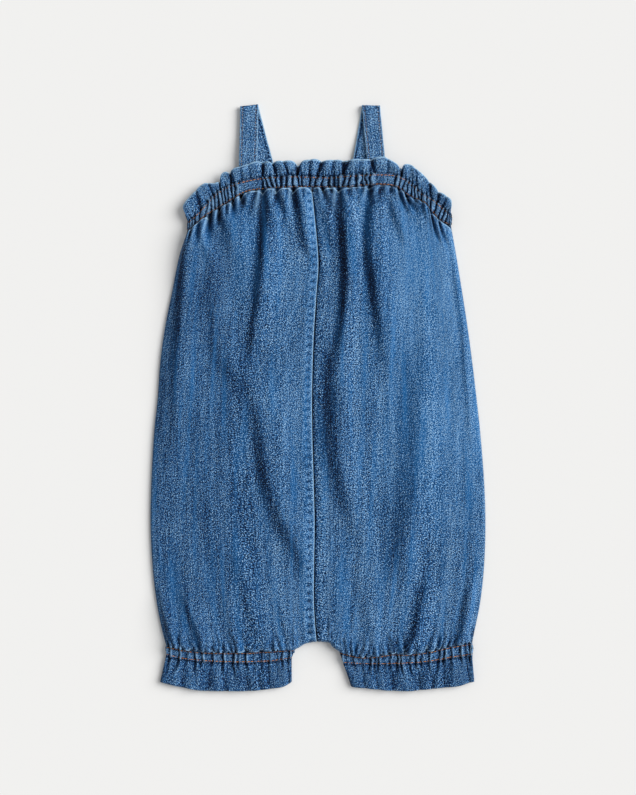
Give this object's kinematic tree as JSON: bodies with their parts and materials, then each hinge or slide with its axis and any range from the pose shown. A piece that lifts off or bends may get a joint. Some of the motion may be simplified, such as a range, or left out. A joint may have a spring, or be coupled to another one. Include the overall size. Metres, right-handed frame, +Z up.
{
  "type": "baby romper, laid flat",
  "caption": "Sleeveless baby romper in soft denim, laid flat: full body gathered by elastic at neck and legs, frilled edges, centre front seam and narrow folded shoulder straps.",
  "frame": {"origin": "on the surface that the romper lies on, under the middle of its length and width", "axes": "+X across the romper to the right as seen from above, +Y along it towards the straps, +Z up from the surface, out of the front"},
  "size_m": [0.2646, 0.4629, 0.0093],
  "materials": {
    "denim": "matte twill, washed",
    "denim_casing": "matte twill, crimped by elastic, orange topstitch",
    "denim_frill": "matte twill, worn pale along the edge",
    "denim_strap": "matte twill, worn pale along both edges",
    "thread_orange": "spun topstitch thread",
    "thread_blue": "spun topstitch thread, in the cloth's colour",
    "thread_tan": "spun topstitch thread"
  },
  "bodies": {
    "root": {"front_panel_left": "denim", "front_panel_right": "denim", "back_panel_left": "denim", "back_panel_right": "denim", "neck_casing_front": "denim_casing", "neck_casing_back": "denim_casing", "neck_frill_front": "denim_frill", "neck_frill_back": "denim_frill", "left_leg_casing_front": "denim_casing", "left_leg_casing_back": "denim_casing", "left_leg_frill_front": "denim_frill", "left_leg_frill_back": "denim_frill", "right_leg_casing_front": "denim_casing", "right_leg_casing_back": "denim_casing", "right_leg_frill_front": "denim_frill", "right_leg_frill_back": "denim_frill", "strap_left": "denim_strap", "strap_right": "denim_strap"}
  },
  "joints": []
}
